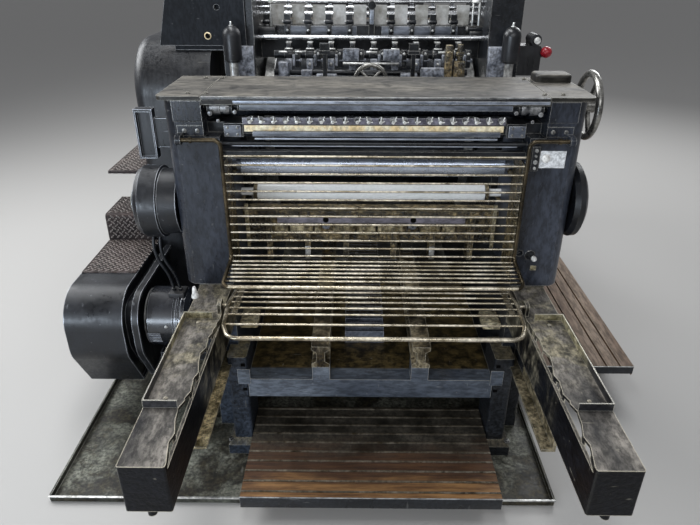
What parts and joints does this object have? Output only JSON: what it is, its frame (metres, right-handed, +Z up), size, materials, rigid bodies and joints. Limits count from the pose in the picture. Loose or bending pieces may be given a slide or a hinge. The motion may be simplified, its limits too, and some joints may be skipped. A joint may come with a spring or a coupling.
{
  "type": "cylinder letterpress",
  "caption": "Cylinder letterpress with ink unit behind hinged wire guards, bed run-out arms, impression cylinder, feeder, drive covers, steps and a drip pan.",
  "frame": {"origin": "floor level under the middle of the machine", "axes": "+X to the operator side with the handwheel, +Y from the bed run-out arms to the feeder, +Z up"},
  "size_m": [2.23, 3.2, 1.6],
  "materials": {
    "pan_steel": "worn, oily",
    "black_casting": "satin, worn at edges",
    "black_sheet": "satin, scratched",
    "ground_steel": "worn bright",
    "polished_steel": "polished, slightly tarnished",
    "brass_strip": "worn",
    "guard_wire": "dull, oily",
    "pale_roller": "smooth",
    "greasy_casting": "greasy",
    "chequer_plate": "worn chequer plate",
    "step_wood": "dark, worn",
    "board_wood": "stained",
    "red_knob": "gloss"
  },
  "bodies": {
    "machine": {"drip_pan": "pan_steel", "bed_side_left": "black_casting", "bed_side_right": "black_casting", "front_crossbeam": "black_casting", "middle_crossbeam": "black_casting", "rear_crossbeam": "black_casting", "inner_rails": "ground_steel", "bed_rack": "ground_steel", "type_bed": "black_casting", "arm_left": "black_casting", "arm_right": "black_casting", "arm_trays": "black_sheet", "column_left": "black_casting", "column_right": "black_casting", "top_cover": "black_sheet", "ink_fountain": "black_casting", "fountain_strip": "brass_strip", "ink_keys": "ground_steel", "cross_plate": "greasy_casting", "tie_beam": "black_casting", "round_cover_left": "black_sheet", "round_cover_right": "black_sheet", "drive_side_box": "black_sheet", "control_head": "black_casting", "motor": "black_casting", "belt_guard": "black_sheet", "chequer_steps": "chequer_plate", "drive_side_ledge": "chequer_plate", "drive_cover": "black_sheet", "upper_panel": "black_sheet", "side_frame_left": "black_casting", "side_frame_right": "black_casting", "gripper_rail": "black_casting", "cross_rods": "polished_steel", "spring_housings": "black_casting", "feed_board": "board_wood", "delivery_table": "board_wood", "feeder_sides": "black_casting", "feeder_head": "black_casting", "pile_table": "board_wood", "front_step": "step_wood", "step_strips": "ground_steel", "side_footboard": "board_wood"},
    "upper_guard_body": {"upper_guard": "guard_wire"},
    "lower_guard_body": {"lower_guard": "guard_wire"},
    "side_handwheel_body": {"side_handwheel": "polished_steel"},
    "small_handwheel_body": {"small_handwheel": "ground_steel"},
    "fountain_roller_body": {"fountain_roller": "ground_steel"},
    "steel_roller_body": {"steel_roller": "ground_steel"},
    "white_roller_body": {"white_roller": "pale_roller"},
    "impression_cylinder_body": {"impression_cylinder": "polished_steel"},
    "control_lever_body": {"control_lever": "red_knob"}
  },
  "joints": [
    {"name": "upper_guard_hinge", "type": "hinge", "parent": "machine", "child": "upper_guard_body", "pos_m": [0, -0.811, 1.187], "axis": [-1, 0, 0], "range_deg": [0, 100]},
    {"name": "lower_guard_hinge", "type": "hinge", "parent": "machine", "child": "lower_guard_body", "pos_m": [0, -0.951, 0.7], "axis": [-1, 0, 0], "range_deg": [0, 80]},
    {"name": "side_handwheel_turn", "type": "hinge", "parent": "machine", "child": "side_handwheel_body", "pos_m": [0.71, -0.551, 1.237], "axis": [1, 0, 0], "continuous": true},
    {"name": "small_handwheel_turn", "type": "hinge", "parent": "machine", "child": "small_handwheel_body", "pos_m": [-0.003, -0.281, 1.262], "axis": [0, 1, 0], "continuous": true},
    {"name": "fountain_roller_turn", "type": "hinge", "parent": "machine", "child": "fountain_roller_body", "pos_m": [0, -0.697, 1.258], "axis": [1, 0, 0], "continuous": true},
    {"name": "steel_roller_turn", "type": "hinge", "parent": "machine", "child": "steel_roller_body", "pos_m": [0, -0.613, 1.052], "axis": [1, 0, 0], "continuous": true},
    {"name": "white_roller_turn", "type": "hinge", "parent": "machine", "child": "white_roller_body", "pos_m": [0, -0.506, 0.912], "axis": [1, 0, 0], "continuous": true},
    {"name": "cylinder_turn", "type": "hinge", "parent": "machine", "child": "impression_cylinder_body", "pos_m": [0, 0.169, 1], "axis": [1, 0, 0], "continuous": true},
    {"name": "control_lever_turn", "type": "hinge", "parent": "machine", "child": "control_lever_body", "pos_m": [0.661, -0.116, 1.338], "axis": [1, 0, 0], "range_deg": [-15, 15]}
  ]
}
